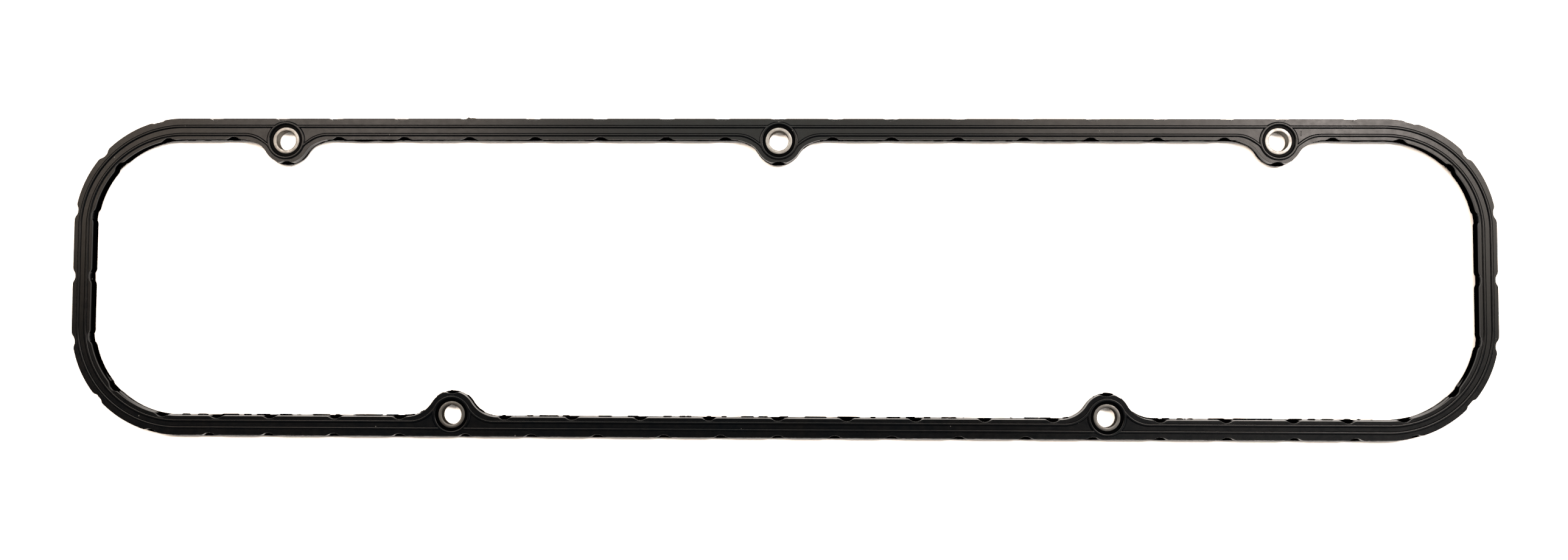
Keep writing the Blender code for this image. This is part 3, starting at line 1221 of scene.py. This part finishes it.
    def _outer_bead(self, face: float) -> bmesh.types.BMesh:
        """Draws the right half of the outer line bead, which stops at each ring bead.

        Args:
            face: The height of the face that it stands on.

        Returns:
            Its mesh.
        """
        band, bm, inset, extra = self.band, bmesh.new(), self.outer_bead_inset, self.outer_bead_extra
        to_line = band.half_width - band.bolt_y - inset - extra
        gap = 2 * math.sqrt(self.ring_radius**2 - to_line**2)
        start = Vector((0, -band.half_width + inset + extra, face))
        pen = BeadPen(bm, start, 0.0, self.line_bead, gap)
        breaks = {"lower": (band.lower_bolt_x,), "upper": (0.0, band.upper_bolt_x)}
        band.walk_outer(pen, inset, extra, breaks)
        return bm

    def _inner_bead(self, face: float) -> bmesh.types.BMesh:
        """Draws the right half of the inner line bead, which rounds each boss on its ring bead.

        Args:
            face: The height of the face that it stands on.

        Returns:
            Its mesh.
        """
        band, bm = self.band, bmesh.new()
        pen = BeadPen(bm, Vector((0, band.bolt_y - self.ring_radius, face)), 0.0, self.line_bead)
        inset = band.side_width - self.inner_bead_from_wall
        band.walk_inner(pen, inset, self.ring_radius, band.boss_fillet, {})
        self.rail_fit.apply(bm, band, self.heights)
        return bm

    def _ring_beads(self, face: float) -> bmesh.types.BMesh:
        """Draws the right half's ring beads, of which the middle one is half a ring.

        Args:
            face: The height of the face that they stand on.

        Returns:
            Their mesh.
        """
        bm = bmesh.new()
        for x, y in self.band.right_bolts:
            start = Vector((x, y - self.ring_radius, face))
            BeadPen(bm, start, 0.0, self.ring_bead).turn(self.ring_radius, math.tau if x else math.pi)
            bmesh.ops.remove_doubles(bm, verts=bm.verts, dist=self.weld)
        return bm

    def beads(self, name: str, upper: bool) -> list[bpy.types.Object]:
        """Builds one face's line beads and ring beads.

        Args:
            name: The start of the objects' names.
            upper: Whether they stand on the upper face or the lower one.

        Returns:
            The beads.
        """
        face, made = self.heights.upper_face, []
        drawn = {
            "outer_bead": self._outer_bead(face),
            "inner_bead": self._inner_bead(face),
            "ring_beads": self._ring_beads(face),
        }
        for kind, bm in drawn.items():
            if not upper:
                flip_level(bm, self.heights.middle)
            mirror_half(bm)
            made.append(add_object(f"{name}_{kind}", bm))
        return made

    def mould_mark(self) -> bpy.types.Object:
        """Builds the small plain pill outline that the mould leaves beside one boss.

        Returns:
            The mark.
        """
        bm = bmesh.new()
        start = Vector((*self.mark_place, self.heights.upper_face))
        start += Vector((self.mark_radius, -self.mark_length / 2, 0))
        pen = BeadPen(bm, start, math.pi / 2, self.mark_bead)
        for _ in range(2):
            pen.forward(self.mark_length)
            pen.turn(self.mark_radius, math.pi)
        bmesh.ops.remove_doubles(bm, verts=bm.verts, dist=self.weld)
        return add_object("mould_mark", bm)

    def holes(self) -> bpy.types.Object:
        """Builds the cutters of the five holes that hold the sleeves.

        Returns:
            The cutters as one object.
        """
        bm = bmesh.new()
        for x, y in self.band.right_bolts:
            for place in (x, -x) if x else (x,):
                bmesh.ops.create_cone(
                    bm,
                    cap_ends=True,
                    segments=self.hole_segments,
                    radius1=self.hole_radius,
                    radius2=self.hole_radius,
                    depth=self.hole_depth,
                    matrix=Matrix.Translation((place, y, self.heights.middle)),
                )
        return add_object("holes", bm)

    def build(self, finish: RubberFinish) -> bpy.types.Object:
        """Unites the moulding and dresses it.

        Args:
            finish: The rubber's finish.

        Returns:
            The moulding.
        """
        body = self.web()
        shapes = [self.lobe("upper_lobe", True), self.lobe("lower_lobe", False)]
        shapes += self.beads("upper", True) + self.beads("lower", False) + [self.mould_mark()]
        unite(body, "UNION", shapes)
        unite(body, "DIFFERENCE", [self.holes()])
        smooth(body, self.sharp_angle)
        body.data.materials.clear()
        body.data.materials.append(finish.material(self.band))
        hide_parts("rubber_gasket")
        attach(body, "root")
        return body


@dataclass(frozen=True)
class SteelSleeve:
    """One steel sleeve that limits how far its bolt squeezes the rubber."""

    node: str
    outer_radius: float = 4.85 * MM
    bore_radius: float = 3.50 * MM
    length: float = 4.10 * MM
    edge_round: float = 0.16 * MM
    edge_segments: int = 3
    segments: int = 72
    sharp_angle: float = 40.0

    def build(self, finish: SteelFinish, middle: float) -> bpy.types.Object:
        """Spins the sleeve's section round its bolt's axis and dresses it.

        Args:
            finish: The steel's finish.
            middle: The height of the sleeve's middle.

        Returns:
            The sleeve.
        """
        low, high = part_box(self.node)
        x, y = (low.x + high.x) / 2, (low.y + high.y) / 2
        bm = bmesh.new()
        width = self.outer_radius - self.bore_radius
        place = Vector((x + self.bore_radius + width / 2, y, middle))
        upright = Matrix.Translation(place) @ Matrix.Rotation(math.pi / 2, 4, "X")
        bmesh.ops.create_grid(bm, x_segments=1, y_segments=1, size=0.5, matrix=upright)
        to_origin = Matrix.Translation(-place)
        bmesh.ops.scale(bm, verts=bm.verts, vec=(width, 1, self.length), space=to_origin)
        bmesh.ops.bevel(
            bm,
            geom=bm.verts[:],
            offset=self.edge_round,
            segments=self.edge_segments,
            profile=0.5,
            affect="VERTICES",
            clamp_overlap=True,
            material=-1,
        )
        edges = bm.edges[:]
        bmesh.ops.delete(bm, geom=bm.faces[:], context="FACES_ONLY")
        bmesh.ops.spin(
            bm,
            geom=bm.verts[:] + edges,
            cent=(x, y, 0),
            axis=(0, 0, 1),
            angle=math.tau,
            steps=self.segments,
            use_merge=True,
        )
        body = add_object(f"{self.node}_steel", bm)
        smooth(body, self.sharp_angle)
        body.data.materials.append(finish.material(self.node, (x, y)))
        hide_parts(self.node)
        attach(body, "root")
        return body


@dataclass(frozen=True)
class Softbox:
    """One soft studio lamp on the ceiling, which shines straight down."""

    name: str
    place: tuple[float, float]
    size: tuple[float, float]
    power: float
    colour: Colour = (1.0, 1.0, 1.0)
    ceiling: float = 1.5

    def build(self) -> bpy.types.Object:
        """Adds the lamp, which the camera itself doesn't see.

        Returns:
            The lamp.
        """
        lamp = bpy.data.lights.new(self.name, "AREA")
        lamp.shape = "RECTANGLE"
        lamp.size, lamp.size_y = self.size
        lamp.energy = self.power
        lamp.color = self.colour
        made = bpy.data.objects.new(self.name, lamp)
        bpy.context.scene.collection.objects.link(made)
        made.location = (*self.place, self.ceiling)
        made.visible_camera = False
        return made


@dataclass(frozen=True)
class Studio:
    """A pale floor, soft lamps and the camera at the photograph's place."""

    floor_half: float = 4.0
    floor_colour: Colour = (0.86, 0.86, 0.86)
    floor_glow: Colour = (4.0, 3.75, 3.5)
    floor_mirrored: Colour = (2.3, 2.3, 2.3)
    fade: tuple[float, float] = (0.32, 0.75)
    sky: Colour = (0.034, 0.031, 0.028)
    camera_place: tuple[float, float, float] = (0.01353, -0.02704, 0.53723)
    camera_turn: tuple[float, float, float] = (2.8298, 1.2249, 0.2261)
    lens: float = 34.286
    sensor_width: float = 36.0
    nearest_seen: float = 0.01
    lamps: tuple[Softbox, ...] = (
        Softbox("far_left_box", (-1.05, 0.31), (0.40, 0.38), 3.1, (1.0, 0.84, 0.70)),
        Softbox("left_box", (-0.60, 0.40), (0.40, 0.40), 5.8, (1.0, 0.89, 0.81)),
        Softbox("middle_box", (-0.08, 0.45), (0.56, 0.40), 3.42, (1.0, 1.0, 0.93)),
        Softbox("right_box", (0.425, 0.40), (0.35, 0.40), 4.8, (1.0, 0.90, 0.82)),
        Softbox("bright_box", (0.74, 0.35), (0.24, 0.30), 8.2, (1.0, 0.92, 0.89)),
        Softbox("far_right_box", (1.08, 0.22), (0.40, 0.40), 3.68, (1.0, 0.93, 0.82)),
        Softbox("low_right_box", (0.80, -0.325), (0.80, 0.25), 1.70, (0.94, 0.97, 1.0)),
    )

    def floor(self) -> bpy.types.Object:
        """Lays the floor, which shows white to the camera and keeps the gasket's shadow.

        Returns:
            The floor.
        """
        bm = bmesh.new()
        bmesh.ops.create_grid(bm, x_segments=1, y_segments=1, size=self.floor_half)
        made = add_object("floor", bm)
        material, bench = new_material("pale_floor")
        seen = bench.add("ShaderNodeLightPath", {}, {}, "Is Camera Ray")
        mirrored = bench.add("ShaderNodeLightPath", {}, {}, "Is Glossy Ray")
        colour = bench.mix(mirrored, (*self.floor_colour, 1), (*self.floor_mirrored, 1))
        colour = bench.mix(seen, colour, (*self.floor_glow, 1))
        diffuse = bench.add("ShaderNodeBsdfDiffuse", {}, {"Color": colour})
        coords = bench.add("ShaderNodeTexCoord", {}, {}, "Object")
        away = bench.add("ShaderNodeVectorMath", {"operation": "LENGTH"}, {0: coords}, "Value")
        lift = bench.span(away, *self.fade, 0.0, 1.0) * seen
        glow = bench.add("ShaderNodeEmission", {}, {"Color": (1, 1, 1, 1), "Strength": lift})
        bench.surface(bench.add("ShaderNodeAddShader", {}, {0: diffuse, 1: glow}))
        made.data.materials.append(material)
        return made

    def world(self) -> None:
        """Gives the world a dim sky that the camera sees as white."""
        world = bpy.data.worlds.new("studio")
        bpy.context.scene.world = world
        world.use_nodes = True
        world.node_tree.nodes.clear()
        bench = Bench(world.node_tree)
        seen = bench.add("ShaderNodeLightPath", {}, {}, "Is Camera Ray")
        colour = bench.mix(seen, (*self.sky, 1), (1, 1, 1, 1))
        sky = bench.add("ShaderNodeBackground", {}, {"Color": colour, "Strength": 1.0})
        bench.surface(sky, "ShaderNodeOutputWorld")

    def camera(self) -> bpy.types.Object:
        """Sets the camera where the photograph was taken from.

        Returns:
            The camera.
        """
        lens = bpy.data.cameras.new("camera")
        lens.lens = self.lens
        lens.sensor_width = self.sensor_width
        lens.sensor_fit = "HORIZONTAL"
        lens.clip_start = self.nearest_seen
        made = bpy.data.objects.new("camera", lens)
        bpy.context.scene.collection.objects.link(made)
        made.location = self.camera_place
        made.rotation_euler = [math.radians(angle) for angle in self.camera_turn]
        bpy.context.scene.camera = made
        return made

    def build(self) -> None:
        """Sets the whole stage."""
        self.floor()
        self.world()
        self.camera()
        for lamp in self.lamps:
            lamp.build()
        bpy.context.scene.view_settings.view_transform = "Standard"


def main() -> None:
    """Builds the studio, the moulding and the sleeves."""
    logging.basicConfig(level=logging.INFO, format="%(name)s: %(message)s")
    Studio().build()
    moulding = RubberMoulding()
    body = moulding.build(RubberFinish())
    log.info("%s: %d faces", body.name, len(body.data.polygons))
    for node in sorted(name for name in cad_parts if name.startswith("sleeve_")):
        sleeve = SteelSleeve(node).build(SteelFinish(), moulding.heights.middle)
        log.info("%s: %d faces", sleeve.name, len(sleeve.data.polygons))


if __name__ == "__main__":
    main()
